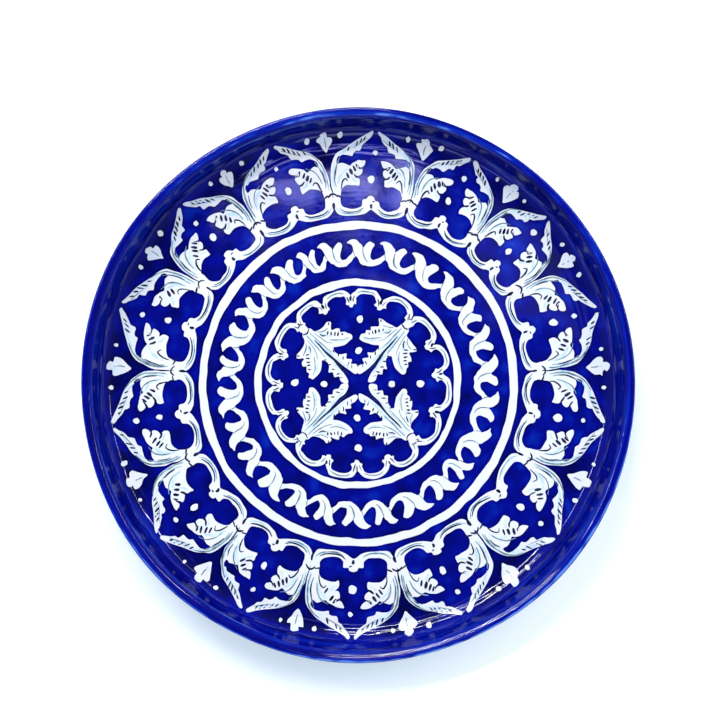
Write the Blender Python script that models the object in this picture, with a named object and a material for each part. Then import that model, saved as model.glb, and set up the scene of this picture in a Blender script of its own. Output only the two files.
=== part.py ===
"""A hand painted ceramic plate, lying on its foot ring.

The axis of the plate is +Z, the origin is the centre of the face that it rests on, and +Y is
the top of the painted pattern. Angles of the pattern are clockwise from +Y, seen from above.
The part is a thrown clay body with a foot ring, three glaze coats, and the white decoration as
thin raised patches of enamel on the flat floor of the plate. Lengths are in millimetres.
"""

import math

import bmesh
import bpy

MM = 0.001
SEGMENTS = 64

# The clay body with its glaze.
RIM_RADIUS = 150.0
HEIGHT = 38.0
FLOOR_RADIUS = 138.5
FLOOR_TOP = 12.0
FLOOR_FILLET = 4.0
WALL_LEAN_DEG = 8.0
LIP_RADIUS = 2.4
HEEL_CENTRE = (138.5, 18.0)
HEEL_RADIUS = 9.0
HEEL_START_DEG = -72.0
HEEL_END_DEG = -18.0
CURVE_STEPS = 3
UNDERSIDE_POINT = (118.0, 6.6)
MID_WALL_POINT = (149.2, 26.0)

# The foot ring that the plate rests on.
FOOT_OUTER_RADIUS = 96.0
FOOT_INNER_RADIUS = 87.0
FOOT_HEIGHT = 5.0
FOOT_CHAMFER = 1.2

# The fired coats, and the gap that keeps neighbouring solids apart.
COAT = 0.6
GAP = 0.3
ENAMEL = 0.6

# The white rings.
OUTER_RING_RADII = (82.8, 87.2)
INNER_RING_RADII = (52.5, 56.0)

# The painter's spacing, in degrees: the knots between petals, the hooks of the ribbon and the
# cusps of the centre medallion. It is uneven, as it is drawn by hand.
KNOT_AT = (16, 39, 60, 86, 113, 141, 168, 195, 220, 247, 274, 302, 327, 352)
HOOK_AT = (-5, 9, 23, 38, 52, 65, 78, 93, 108, 124, 134, 147, 163, 175, 189, 201, 214, 229, 242,
           256, 271, 283, 298, 310, 321, 333, 343)
CUSP_AT = (-5, 16, 40, 63, 83, 109, 135, 158, 181, 203, 227, 248, 269, 291, 314, 335)
SPRAY_CUSPS = (2, 6, 10, 14)

# Half of a petal: share of the way from its middle line to the knot, and radius. It runs from
# the crown of the finial up the inner side, over the leaf tip, and back along the outer side.
PETAL_HALF = (
    (0.00, 101.4), (0.08, 100.0), (0.20, 98.5), (0.24, 95.6), (0.35, 93.8), (0.50, 93.2),
    (0.66, 93.6), (0.79, 95.6), (0.81, 99.4), (0.80, 102.6), (0.70, 105.4), (0.54, 106.8),
    (0.32, 106.2), (0.30, 109.0), (0.38, 111.2), (0.27, 113.2), (0.32, 115.6), (0.19, 118.0),
    (0.18, 120.4), (0.36, 120.4), (0.52, 118.4), (0.66, 118.0), (0.80, 117.6), (0.78, 120.4),
    (0.64, 122.6), (0.48, 123.0), (0.38, 125.0), (0.28, 126.4), (0.22, 129.2), (0.12, 132.6),
    (0.04, 135.6), (0.10, 136.2), (0.24, 133.6), (0.42, 130.8), (0.62, 127.6), (0.78, 123.6),
    (0.88, 118.8), (0.92, 114.2), (0.96, 108.6), (0.98, 103.6), (0.98, 96.6), (0.92, 92.6),
    (0.80, 90.2), (0.60, 89.6), (0.40, 90.0), (0.20, 91.6), (0.07, 94.4), (0.00, 95.4),
)

# Half of a heart-shaped leaf that points to the centre: offset across, and along the radius.
HEART_RADIUS = 132.3
HEART_HALF = ((0.0, -5.8), (1.9, -2.6), (3.7, 0.7), (4.8, 3.0), (3.2, 2.7), (1.7, 3.0),
              (2.0, 4.4), (1.1, 5.3), (0.0, 5.6))

# One repeat of the ribbon: share of the way to the next hook, and radius.
RIBBON_OUTER = ((0.00, 76.2), (0.17, 77.5), (0.32, 76.9), (0.50, 72.9), (0.62, 75.4),
                (0.75, 76.2), (0.85, 75.2), (0.76, 70.4), (0.79, 67.0), (0.95, 67.1),
                (1.12, 70.0), (1.14, 73.6))
RIBBON_INNER = ((0.28, 68.2), (0.42, 65.1), (0.60, 63.4), (0.84, 63.2), (1.03, 64.6), (1.14, 66.0))

# One lobe of the medallion's border: share of the way to the next cusp, outer and inner radius.
LOBE = ((0.00, 46.4, 41.2), (0.05, 47.5, 41.6), (0.12, 49.2, 42.6), (0.19, 50.1, 43.6), (0.22, 50.5, 46.8),
        (0.36, 51.1, 48.2), (0.64, 51.1, 48.2), (0.78, 50.5, 46.8), (0.81, 50.1, 43.6), (0.88, 49.2, 42.6),
        (0.95, 47.5, 41.6))

# Half of a leaf spray: distance from the plate's centre along the spray, and offset from it.
SPRAY_HALF = (
    (39.6, 0.0), (39.0, 2.2), (36.6, 4.0), (35.2, 7.0), (34.6, 11.8), (33.2, 12.9), (30.6, 10.9),
    (27.7, 14.2), (25.6, 14.0), (22.8, 15.2), (20.3, 16.1), (19.2, 14.9), (19.8, 9.8),
    (22.6, 5.2), (18.4, 4.6), (15.9, 6.7), (14.4, 5.3), (11.7, 6.7), (10.3, 5.2), (7.6, 6.0),
    (5.1, 4.5), (8.6, 2.0), (20.0, 0.7), (30.0, 0.0),
)

# Dots at the four quarters of the medallion: radii of the two circles that they lie on.
DOT_CIRCLES = (34.2, 18.4)
DOT_RADIUS = 2.0
DOT_SIDES = 12

MERGE_DISTANCE_M = 1e-6
SMOOTH_BELOW_DEG = 35.0


def glossy(name, colour, roughness):
    material = bpy.data.materials.new(name)
    material.use_nodes = True
    shader = material.node_tree.nodes["Principled BSDF"]
    shader.inputs["Base Color"].default_value = (*colour, 1.0)
    shader.inputs["Roughness"].default_value = roughness
    shader.inputs["Metallic"].default_value = 0.0
    return material


def add_object(name, bm, material):
    """Makes a named object of the faces in bm, with round surfaces shaded smooth."""
    bmesh.ops.recalc_face_normals(bm, faces=bm.faces[:])
    mesh = bpy.data.meshes.new(name)
    bm.to_mesh(mesh)
    bm.free()
    mesh.materials.append(material)
    mesh.shade_smooth()
    mesh.set_sharp_from_angle(angle=math.radians(SMOOTH_BELOW_DEG))
    item = bpy.data.objects.new(name, mesh)
    bpy.context.scene.collection.objects.link(item)
    return item


def turned(name, outline, material):
    """Turns a closed outline of (radius, height) points about the Z axis."""
    bm = bmesh.new()
    points = [bm.verts.new((radius * MM, 0.0, height * MM)) for radius, height in outline]
    edges = []
    for start, end in zip(points, points[1:] + points[:1]):
        on_axis = start.co.x == 0.0 and end.co.x == 0.0
        if not on_axis:
            edges.append(bm.edges.new((start, end)))
    bmesh.ops.spin(bm, geom=points + edges, axis=(0, 0, 1), cent=(0, 0, 0),
                   angle=2 * math.pi, steps=SEGMENTS, use_merge=True)
    bmesh.ops.remove_doubles(bm, verts=bm.verts[:], dist=MERGE_DISTANCE_M)
    return add_object(name, bm, material)


def enamel_patch(name, loops, material):
    """Raises the area inside the first loop, less any loop within it, above the floor."""
    bottom = (FLOOR_TOP + GAP) * MM
    bm = bmesh.new()
    edges = []
    for loop in loops:
        points = [bm.verts.new((x * MM, y * MM, bottom)) for x, y in loop]
        edges += [bm.edges.new(pair) for pair in zip(points, points[1:] + points[:1])]
    filled = bmesh.ops.triangle_fill(bm, use_beauty=True, edges=edges)
    faces = [item for item in filled["geom"] if isinstance(item, bmesh.types.BMFace)]
    raised = bmesh.ops.extrude_face_region(bm, geom=faces)
    tops = [item for item in raised["geom"] if isinstance(item, bmesh.types.BMVert)]
    bmesh.ops.translate(bm, vec=(0, 0, ENAMEL * MM), verts=tops)
    return add_object(name, bm, material)


def polar(angle_deg, radius):
    angle = math.radians(angle_deg)
    return radius * math.sin(angle), radius * math.cos(angle)


def arc(centre, radius, start_deg, end_deg, steps):
    """Points of a circular arc in the (radius, height) plane, both ends included."""
    points = []
    for step in range(steps + 1):
        angle = math.radians(start_deg + (end_deg - start_deg) * step / steps)
        points.append((centre[0] + radius * math.cos(angle), centre[1] + radius * math.sin(angle)))
    return points


def offset_inward(path, depth):
    """Moves an open path of (radius, height) points by depth to its left-hand side."""
    moved = []
    for index, (radius, height) in enumerate(path):
        before = path[max(index - 1, 0)]
        after = path[min(index + 1, len(path) - 1)]
        along = (after[0] - before[0], after[1] - before[1])
        length = math.hypot(*along)
        side = (-along[1] / length, along[0] / length)
        moved.append((radius + side[0] * depth if radius > 0.0 else 0.0, height + side[1] * depth))
    return moved


def section_paths():
    """The glazed surface as two open paths: underside to below the lip, and on to the centre."""
    lip_centre = (RIM_RADIUS - LIP_RADIUS, HEIGHT - LIP_RADIUS)
    fillet_centre = (FLOOR_RADIUS, FLOOR_TOP + FLOOR_FILLET)
    outside = [(FOOT_OUTER_RADIUS + GAP, FOOT_HEIGHT), UNDERSIDE_POINT]
    outside += arc(HEEL_CENTRE, HEEL_RADIUS, HEEL_START_DEG, HEEL_END_DEG, CURVE_STEPS)
    outside += [MID_WALL_POINT, (RIM_RADIUS, HEIGHT - LIP_RADIUS - GAP)]
    front = arc(lip_centre, LIP_RADIUS, 0.0, 90.0, CURVE_STEPS)
    front += arc(lip_centre, LIP_RADIUS, 90.0, 180.0 - WALL_LEAN_DEG, CURVE_STEPS)[1:]
    front += arc(fillet_centre, FLOOR_FILLET, -WALL_LEAN_DEG, -90.0, CURVE_STEPS)
    front.append((0.0, FLOOR_TOP))
    return outside, front


def make_body(clay, cobalt, unglazed):
    outside, front = section_paths()
    for name, path in (("glaze_back", outside), ("glaze_front", front)):
        turned(name, path + offset_inward(path, COAT)[::-1], cobalt)
    whole = offset_inward(outside + front, COAT + GAP)
    inner_edge = (FOOT_INNER_RADIUS - GAP, whole[0][1])
    turned("clay_body", [(0.0, inner_edge[1]), inner_edge] + whole, clay)
    recess_top = whole[0][1] - GAP
    recess = [(0.0, recess_top - COAT), (FOOT_INNER_RADIUS - GAP, recess_top - COAT),
              (FOOT_INNER_RADIUS - GAP, recess_top), (0.0, recess_top)]
    turned("glaze_base", recess, cobalt)
    top = FOOT_HEIGHT + COAT
    inner, outer = FOOT_INNER_RADIUS, FOOT_OUTER_RADIUS
    foot = [(inner, top), (inner, FOOT_CHAMFER), (inner + FOOT_CHAMFER, 0.0),
            (outer - FOOT_CHAMFER, 0.0), (outer, FOOT_CHAMFER), (outer, top)]
    turned("foot_ring", foot, unglazed)


def make_rings(white):
    bottom = FLOOR_TOP + GAP
    for name, (inner, outer) in (("ring_outer", OUTER_RING_RADII), ("ring_inner", INNER_RING_RADII)):
        section = [(inner, bottom), (outer, bottom), (outer, bottom + ENAMEL), (inner, bottom + ENAMEL)]
        turned(name, section, white)


def make_petals(white):
    half = list(PETAL_HALF)
    outline = half + [(-share, radius) for share, radius in half[-2:0:-1]]
    for index, end in enumerate(KNOT_AT):
        start = KNOT_AT[index - 1] - (360 if index == 0 else 0)
        middle, reach = (start + end) / 2, (end - start) / 2
        loop = [polar(middle + share * reach, radius) for share, radius in outline]
        enamel_patch(f"petal_{index + 1:02d}", [loop], white)


def make_hearts(white):
    outline = list(HEART_HALF) + [(-across, along) for across, along in HEART_HALF[-2:0:-1]]
    for index, angle_deg in enumerate(KNOT_AT):
        angle = math.radians(angle_deg)
        loop = []
        for across, along in outline:
            radius = HEART_RADIUS + along
            loop.append((radius * math.sin(angle) + across * math.cos(angle),
                         radius * math.cos(angle) - across * math.sin(angle)))
        enamel_patch(f"heart_{index + 1:02d}", [loop], white)


def make_ribbon(white):
    outer, inner = [], []
    for index, start in enumerate(HOOK_AT):
        after = HOOK_AT[(index + 1) % len(HOOK_AT)]
        pitch = (after - start) % 360
        outer += [polar(start + share * pitch, radius) for share, radius in RIBBON_OUTER]
        inner += [polar(start + share * pitch, radius) for share, radius in RIBBON_INNER]
    enamel_patch("ribbon_band", [outer, inner], white)


def make_medallion(white):
    outer, inner = [], []
    for index, start in enumerate(CUSP_AT):
        pitch = (CUSP_AT[(index + 1) % len(CUSP_AT)] - start) % 360
        for share, outside, inside in LOBE:
            outer.append(polar(start + share * pitch, outside))
            inner.append(polar(start + share * pitch, inside))
    enamel_patch("medallion_border", [outer, inner], white)
    half = list(SPRAY_HALF)
    outline = half + [(along, -across) for along, across in half[-2:0:-1]]
    for number, cusp in enumerate(SPRAY_CUSPS, start=1):
        angle = math.radians(CUSP_AT[cusp])
        loop = [(along * math.sin(angle) + across * math.cos(angle),
                 along * math.cos(angle) - across * math.sin(angle)) for along, across in outline]
        enamel_patch(f"medallion_spray_{number}", [loop], white)


def make_dots(white):
    for quarter in range(4):
        for circle, radius in enumerate(DOT_CIRCLES):
            x, y = polar(90 * quarter, radius)
            loop = []
            for side in range(DOT_SIDES):
                dx, dy = polar(360 * side / DOT_SIDES, DOT_RADIUS)
                loop.append((x + dx, y + dy))
            enamel_patch(f"dot_{quarter * len(DOT_CIRCLES) + circle + 1}", [loop], white)


def main():
    for item in list(bpy.data.objects):
        bpy.data.objects.remove(item, do_unlink=True)
    clay = glossy("clay", (0.56, 0.27, 0.15), 0.75)
    unglazed = glossy("unglazed_foot", (0.60, 0.31, 0.19), 0.85)
    cobalt = glossy("cobalt_glaze", (0.008, 0.010, 0.26), 0.12)
    white = glossy("white_enamel", (0.90, 0.92, 0.86), 0.18)
    make_body(clay, cobalt, unglazed)
    make_rings(white)
    make_petals(white)
    make_hearts(white)
    make_ribbon(white)
    make_medallion(white)
    make_dots(white)


main()
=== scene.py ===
"""The looks of a hand painted ceramic plate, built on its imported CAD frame.

The plate lies on its foot ring with +Y at the top of the pattern. The round surfaces and the
painted pattern are made again with a fine surface: one turned glaze skin, and thin raised
patches of white enamel with fine ink lines on them. Lengths are in millimetres unless a name
says otherwise, and pattern angles are clockwise from +Y, seen from above.
"""

import math
import random

import bmesh
import bpy
import numpy as np
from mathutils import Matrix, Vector, kdtree


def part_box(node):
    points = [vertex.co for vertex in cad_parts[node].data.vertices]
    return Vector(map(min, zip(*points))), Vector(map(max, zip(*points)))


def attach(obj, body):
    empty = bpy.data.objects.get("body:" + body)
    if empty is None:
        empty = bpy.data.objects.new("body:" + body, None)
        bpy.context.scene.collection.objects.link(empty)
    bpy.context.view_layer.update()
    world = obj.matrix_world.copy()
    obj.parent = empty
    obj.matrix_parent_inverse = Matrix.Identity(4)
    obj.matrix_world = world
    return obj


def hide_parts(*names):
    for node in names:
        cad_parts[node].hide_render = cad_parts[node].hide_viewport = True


MM = 0.001

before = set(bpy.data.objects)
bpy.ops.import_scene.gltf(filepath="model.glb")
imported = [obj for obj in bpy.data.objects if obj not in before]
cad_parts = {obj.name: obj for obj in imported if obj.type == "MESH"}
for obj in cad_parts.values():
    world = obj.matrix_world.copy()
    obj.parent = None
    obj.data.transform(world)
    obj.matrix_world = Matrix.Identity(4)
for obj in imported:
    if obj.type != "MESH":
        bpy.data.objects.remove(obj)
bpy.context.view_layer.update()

# The section of the plate, in the size of the CAD nodes.
RIM_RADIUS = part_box("glaze_front")[1][0] / MM
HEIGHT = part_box("glaze_front")[1][2] / MM
GAP_UNDER_PATCH = 0.3
FLOOR_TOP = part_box("petal_01")[0][2] / MM - GAP_UNDER_PATCH
FLOOR_RADIUS = 129.5
FLOOR_FILLET = 11.7
WALL_LEAN_DEG = 13.0
LIP_SLOPE = (4.6, 3.2)
LIP_EDGE_RADIUS = 1.3
OUTER_WALL_POINT = (149.2, 26.0)
HEEL_CENTRE = (138.5, 18.0)
HEEL_RADIUS = 9.0
HEEL_START_DEG, HEEL_END_DEG = -18.0, -72.0
UNDERSIDE_POINT = (118.0, 6.6)
FOOT_POINT = (96.05, 5.0)

# The steep inner wall, whose thin glaze shines less: radii and heights.
THIN_GLAZE_RADII = (139.6, 144.6)
THIN_GLAZE_HEIGHTS = (17.0, 36.0)

# How finely the skin is cut: round the axis, and along each part of its section.
SKIN_SEGMENTS = 590
OUTER_FLOOR_WIDTH = 11.5
INNER_FLOOR_STEPS, OUTER_FLOOR_STEPS, FILLET_STEPS, WALL_STEPS = 84, 14, 20, 9
LIP_POINTS, LIP_EDGE_STEPS = 15, 6
OUTER_WALL_STEPS, HEEL_STEPS, UNDERSIDE_STEPS, FOOT_STEPS = 5, 6, 5, 4

# How far the enamel and the ink stand above the glaze.
ENAMEL_TOP = 0.24
ENAMEL_EDGE = 0.09
KNOT_TOP = 0.32
PALE_TOP = 0.265
INK_TOP = 0.30
DARK_INK_TOP = INK_TOP + 0.03
KNOT_INK_TOP = 0.38
SUNK = 0.10
LINE_BOTTOM = ENAMEL_TOP - 0.04
LINE_EDGE = 0.03
FINE_LINE_EDGE = 0.02

# The painter's spacing in degrees. It is uneven, as it is drawn by hand.
KNOT_AT = (16, 39, 60, 86, 113, 141, 168, 195, 220, 247, 274, 302, 327, 352)
HOOK_AT = (-5, 9, 23, 38, 52, 65, 78, 93, 108, 124, 134, 147, 163, 175, 189, 201, 214, 229, 242,
           256, 271, 283, 298, 310, 321, 333, 343)
CUSP_AT = (-5, 16, 40, 63, 83, 109, 135, 158, 181, 203, 227, 248, 269, 291, 314, 335)
SPRAY_CUSPS = (2, 6, 10, 14)

OUTER_RING_RADII = (82.8, 87.1)
INNER_RING_RADII = (52.7, 56.2)

# Half of a petal, drawn for a half width of 13 degrees: offset from its middle line, and distance
# along it from the plate's centre. It starts at the crown of the lower finial and runs round the
# blue trefoil, the inner leaf, the pocket and the outer leaf, and back along the outside.
PETAL_HALF_WIDTH_DEG = 13.0
PETAL_HALF = (
    (0.3, 101.2), (1.9, 100.4), (2.5, 99.0), (4.6, 98.4), (5.4, 95.6), (7.6, 93.8), (10.8, 93.1),
    (14.0, 93.3), (16.5, 94.3), (17.8, 96.2), (17.9, 98.3), (18.1, 100.4), (18.0, 102.4),
    (17.0, 104.3), (14.9, 105.8), (11.9, 106.6), (9.2, 106.4), (7.6, 106.2), (7.2, 108.3),
    (7.6, 110.0), (9.2, 111.1), (7.6, 111.8), (6.3, 113.6), (6.4, 115.2), (8.0, 116.0),
    (6.2, 116.9), (4.9, 118.7), (4.7, 120.2), (6.4, 120.6), (9.0, 120.1), (11.2, 119.2),
    (12.9, 118.0), (14.2, 116.6), (15.6, 116.9), (17.4, 117.6), (19.2, 117.7), (21.2, 116.9),
    (21.7, 118.8), (20.8, 120.8), (18.6, 122.1), (15.6, 122.5), (12.9, 122.5), (12.2, 124.0),
    (10.6, 125.0), (8.2, 125.3), (7.5, 126.9), (7.4, 128.3), (5.8, 129.4), (4.3, 131.0),
    (2.9, 133.0), (1.7, 134.5), (1.2, 135.7), (1.9, 136.4), (3.8, 135.5), (6.7, 133.5),
    (11.1, 130.7), (15.5, 128.0), (19.1, 125.3), (22.1, 122.1), (23.9, 118.8), (24.6, 115.0),
    (24.7, 111.2), (24.4, 107.7), (23.9, 104.8), (23.2, 101.2), (22.2, 97.2), (21.4, 93.7),
    (20.5, 91.7), (18.6, 90.1), (14.6, 89.3), (10.3, 89.4), (6.8, 90.2), (3.5, 91.5), (1.4, 93.0),
    (0.0, 93.7),
)

# Ink strokes of half a petal: the points of each, then its width.
PETAL_INK = (
    (((6.6, 130.6), (5.6, 133.0)), 0.8),
    (((8.9, 129.0), (7.9, 131.9)), 0.85),
    (((11.3, 127.4), (10.3, 130.6)), 0.85),
    (((13.7, 125.9), (12.8, 129.2)), 0.85),
    (((16.1, 124.9), (15.3, 127.3)), 0.8),
    (((8.6, 115.6), (10.6, 118.0)), 1.15),
    (((10.2, 113.8), (12.4, 116.6)), 1.35),
    (((11.8, 111.9), (14.0, 114.8)), 1.35),
    (((13.4, 110.1), (15.3, 112.9)), 1.15),
    (((14.2, 108.2), (15.9, 109.4), (17.1, 108.2), (17.8, 105.8), (18.0, 103.0)), 0.75),
    (((7.9, 110.5), (9.5, 111.2), (11.0, 112.3)), 1.0),
    (((6.6, 116.0), (8.2, 116.3), (9.4, 117.3)), 0.8),
    (((17.4, 99.0), (19.0, 99.6), (20.6, 99.9)), 0.9),
    (((21.7, 115.4), (22.2, 111.6), (21.9, 107.8)), 0.6),
    (((4.4, 94.4), (7.2, 92.5), (10.8, 91.6), (14.8, 91.7), (18.0, 92.9)), 0.75),
)
# Grey-green wash lines of half a petal.
PETAL_WASH = (
    (((17.2, 126.2), (20.6, 122.9), (22.8, 118.9), (23.6, 115.0), (23.7, 111.2), (23.2, 106.9),
      (22.0, 102.4)), 0.8),
    (((20.4, 120.4), (21.8, 116.0), (22.4, 111.6), (21.9, 107.4), (20.9, 104.0)), 0.7),
    (((13.6, 118.6), (17.4, 115.8), (19.2, 111.6), (19.4, 107.2)), 0.7),
    (((5.0, 92.6), (8.4, 90.9), (12.6, 90.4), (17.0, 91.2), (19.9, 93.2)), 0.6),
    (((4.4, 132.2), (8.4, 129.4), (12.6, 126.6)), 0.5),
)
# Broad pale blue shading of half a petal.
PETAL_PALE = (
    (((6.0, 132.2), (11.6, 128.4), (17.0, 124.8), (20.4, 121.0)), 1.5),
    (((22.9, 117.0), (23.4, 112.6), (23.0, 107.6), (21.8, 102.2)), 1.6),
    (((14.6, 115.6), (18.4, 111.2), (19.4, 105.6)), 1.5),
    (((8.4, 108.6), (10.6, 109.6), (12.4, 111.6)), 1.1),
    (((4.6, 93.4), (9.0, 91.0), (14.6, 90.6), (19.0, 92.4)), 1.3),
)
# The chance that the painter leaves a line of a petal out.
PETAL_MISSED = 0.07

# The knot between two petals: offset across, and radius.
KNOT_RADIUS = 98.6
KNOT_SIZE = (2.8, 2.4)
KNOT_INK = (
    (((-2.6, 100.7), (-1.4, 102.0), (0.0, 102.6), (1.4, 102.0), (2.6, 100.7)), 1.2),
    (((-0.1, 98.0), (0.1, 96.2), (-0.1, 94.2)), 1.6),
    (((0.1, 110.8), (-0.1, 107.5), (0.1, 103.2)), 0.8),
)
FINIAL_INK = (
    (((0.2, 96.9), (0.0, 95.6), (0.3, 94.3)), 1.6),
    (((0.6, 97.9), (2.2, 98.2)), 0.8),
)

# Half of a heart-shaped leaf that points to the centre: offset across, and along the radius.
HEART_RADIUS = 131.4
HEART_HALF = ((0.0, -5.8), (1.6, -3.7), (3.3, -1.4), (4.4, 0.8), (4.1, 2.1), (2.7, 2.6),
              (2.0, 2.7), (2.1, 4.0), (1.4, 5.1), (0.0, 5.5))
HEART_RIB = ((0.1, -3.4), (0.0, -0.6), (0.1, 2.2))
HEART_RIB_WIDTH = 0.7
# The dots beside a heart: radius of their circle, angle from the heart, and half axes.
HEART_DOT_RADIUS = 134.2
HEART_DOT_DEG = 4.4
HEART_DOT_SIZE = (1.35, 1.6)
# The hearts at the bottom are larger: size at the quarters, and how much it falls to the top.
HEART_SIZE, HEART_SHRINK = 1.07, 0.09

# The dots down the middle of a petal: radius, half width and half length.
PETAL_DOTS = ((110.3, 1.8, 2.2), (124.3, 1.4, 1.5))

# One repeat of the ribbon: share of the way to the next hook, and radius.
RIBBON_OUTER = (
    (0.00, 76.2), (0.08, 76.9), (0.17, 77.6), (0.30, 77.1), (0.40, 75.5), (0.47, 74.1),
    (0.50, 72.9), (0.55, 73.8), (0.62, 75.4), (0.71, 76.5), (0.79, 76.2), (0.855, 75.2),
    (0.80, 73.0), (0.755, 70.4), (0.745, 68.4), (0.78, 67.0), (0.86, 66.6), (0.95, 67.1),
    (1.05, 68.4), (1.14, 70.0), (1.185, 71.2), (1.19, 72.4), (1.15, 74.0), (1.08, 75.3),
)
RIBBON_INNER = ((0.267, 68.2), (0.35, 66.4), (0.42, 65.1), (0.50, 64.1), (0.60, 63.4),
                (0.77, 63.2), (0.92, 63.5), (1.05, 64.6), (1.13, 65.9), (1.20, 67.6))
RIBBON_INK = ((((0.495, 73.0), (0.50, 70.6), (0.53, 68.4), (0.60, 66.3), (0.70, 65.3)), 0.9),
              (((1.19, 71.6), (1.21, 69.6), (1.26, 67.9)), 0.6))

# One lobe of the medallion's border: share of the way to the next cusp, and radius.
LOBE_OUTER = ((0.00, 46.4), (0.05, 47.5), (0.13, 49.4), (0.26, 50.8), (0.50, 51.3),
              (0.74, 50.8), (0.87, 49.4), (0.95, 47.5))
LOBE_INNER = ((0.00, 41.0), (0.07, 41.4), (0.10, 42.5), (0.15, 42.6), (0.195, 43.3), (0.17, 44.5),
              (0.175, 45.8), (0.23, 47.3), (0.33, 48.2), (0.50, 48.5), (0.67, 48.2), (0.77, 47.3),
              (0.825, 45.8), (0.83, 44.5), (0.805, 43.3), (0.85, 42.6), (0.90, 42.5), (0.93, 41.4))
LOBE_WASH = (((0.22, 48.6), (0.34, 49.6), (0.50, 49.9), (0.66, 49.6), (0.78, 48.6)), 0.75)
LOBE_INK = ((((0.0, 46.8), (0.0, 45.6), (0.01, 44.4)), 1.35),
            (((0.06, 43.4), (0.09, 44.9), (0.14, 46.9)), 0.7),
            (((0.94, 43.4), (0.91, 44.9), (0.86, 46.9)), 0.7))

# Half of a leaf spray: distance from the plate's centre along the spray, and offset from it.
SPRAY_HALF = (
    (41.6, 0.0), (41.0, 1.6), (39.4, 2.8), (37.2, 3.7), (35.4, 6.2), (34.8, 9.2), (34.6, 11.8),
    (33.4, 13.2), (31.8, 11.9), (30.4, 10.9), (29.3, 12.9), (27.7, 14.4), (26.4, 13.4),
    (24.8, 15.2), (23.2, 15.1), (21.8, 16.0), (20.3, 16.2), (19.3, 15.2), (19.2, 12.8), (19.8, 9.8),
    (21.6, 6.8), (23.0, 4.5), (20.4, 3.6), (17.8, 4.5), (15.9, 6.9), (14.4, 5.2), (11.7, 6.8),
    (10.3, 5.1), (7.5, 6.1), (4.9, 4.6), (4.6, 3.2), (8.4, 1.7), (14.0, 1.0), (22.0, 0.45),
    (31.0, 0.2), (34.0, 0.0),
)
SPRAY_INK = (
    (((30.1, 7.4), (31.3, 9.0)), 0.9), (((28.6, 8.6), (29.8, 10.2)), 0.95),
    (((27.1, 9.8), (28.3, 11.4)), 0.95), (((25.6, 11.0), (26.8, 12.6)), 0.9),
    (((24.2, 12.4), (25.2, 13.9)), 0.8), (((34.2, 12.6), (33.0, 11.2)), 0.8),
    (((30.6, 11.0), (31.6, 12.4)), 0.8), (((26.6, 13.6), (27.6, 14.8)), 0.7),
    (((33.8, 4.4), (31.6, 5.2), (30.4, 6.6)), 0.7),
    (((22.2, 4.0), (21.0, 2.8)), 0.7), (((18.9, 4.2), (17.6, 2.8)), 0.75),
    (((15.9, 5.0), (14.6, 3.3)), 0.75), (((12.0, 4.9), (10.8, 3.1)), 0.7),
)
SPRAY_WASH = (
    (((38.6, 1.3), (33.0, 1.6), (28.0, 1.8), (22.0, 2.2)), 0.6),
    (((36.4, 2.8), (32.0, 3.4), (28.0, 4.4), (25.2, 6.2)), 0.6),
    (((35.6, 4.6), (33.4, 7.0), (32.2, 10.0)), 0.6),
    (((27.6, 6.2), (24.6, 8.6), (22.2, 11.4), (21.2, 14.0)), 0.6),
    (((9.6, 4.9), (8.2, 3.6)), 0.6),
)
# Broad pale blue shading of half a spray.
SPRAY_PALE = (
    (((37.6, 1.0), (31.0, 1.2), (24.0, 1.4), (16.0, 1.8), (9.0, 2.6)), 1.5),
    (((34.2, 5.2), (30.6, 6.4), (27.4, 9.0)), 1.2),
    (((24.6, 7.2), (21.8, 10.4), (20.6, 14.6)), 1.2),
)
# The dark line down the middle of a spray, which opens into the dark centre.
SPRAY_VEIN = (((33.4, 0.0), (27.0, 0.1), (20.0, -0.1), (13.0, 0.0), (6.0, 0.1)), 1.1)
BEAD_INK = (
    (((39.9, -2.5), (39.0, 0.0), (39.9, 2.5)), 0.8),
    (((43.9, -2.1), (44.6, 0.0), (43.9, 2.1)), 0.8),
)
BEAD_RADIUS = 41.8
BEAD_SIZE = (2.3, 2.0)
# The dots of the medallion: radii of their circles, and half axes.
DOT_CIRCLES = (34.2, 18.4)
DOT_SIZE = (1.8, 2.0)

# How rough the edges of the two rings are: wavelengths and depths of a quick and a slow wave.
RING_WAVELENGTHS = (9.0, 45.0)
RING_DEPTHS = (0.16, 0.3)
RING_SPACING = 0.6


# ---- Outlines ----

def field(seed, wavelength, waves=7):
    """A smooth seeded field over the plate, about -1 to 1: fn(x, y) of arrays or numbers."""
    rng = random.Random(seed)
    parts = []
    for _ in range(waves):
        turn = rng.uniform(0.0, 2 * math.pi)
        pitch = 2 * math.pi / (wavelength * rng.uniform(0.7, 1.6))
        parts.append((math.cos(turn) * pitch, math.sin(turn) * pitch, rng.uniform(0, 2 * math.pi)))
    scale = 1.0 / math.sqrt(waves / 2.0)
    return lambda x, y: sum(np.sin(a * x + b * y + c) for a, b, c in parts) * scale * 0.6


WOBBLE_X, WOBBLE_Y = field(11, 16.0), field(12, 16.0)
WOBBLE_DEPTH = 0.28
PATTERN_WIDE, PATTERN_TALL, TOP_SQUEEZE = 0.991, 1.0115, 0.02
PATTERN_SHIFT = (0.05, 0.0)

# The floor of a plate thrown by hand: a slow swell and a ripple that end near the wall, and
# fine throwing ridges round its edge.
SWELL, RIPPLE = field(21, 90.0, 5), field(22, 34.0, 7)
SWELL_DEPTH, RIPPLE_DEPTH, RIDGE_DEPTH = 0.10, 0.035, 0.035
SWELL_END, SWELL_FADE = FLOOR_RADIUS + 2.0, 14.0
RIDGES_START, RIDGES_START_FADE = 122.0, 8.0
RIDGES_END, RIDGES_END_FADE = 140.0, 3.0
RIDGE_PITCH = 2.1


def climb(value, start, width):
    """0 up to the start, then rises to 1 over the width."""
    return np.clip((value - start) / width, 0.0, 1.0)


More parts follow.
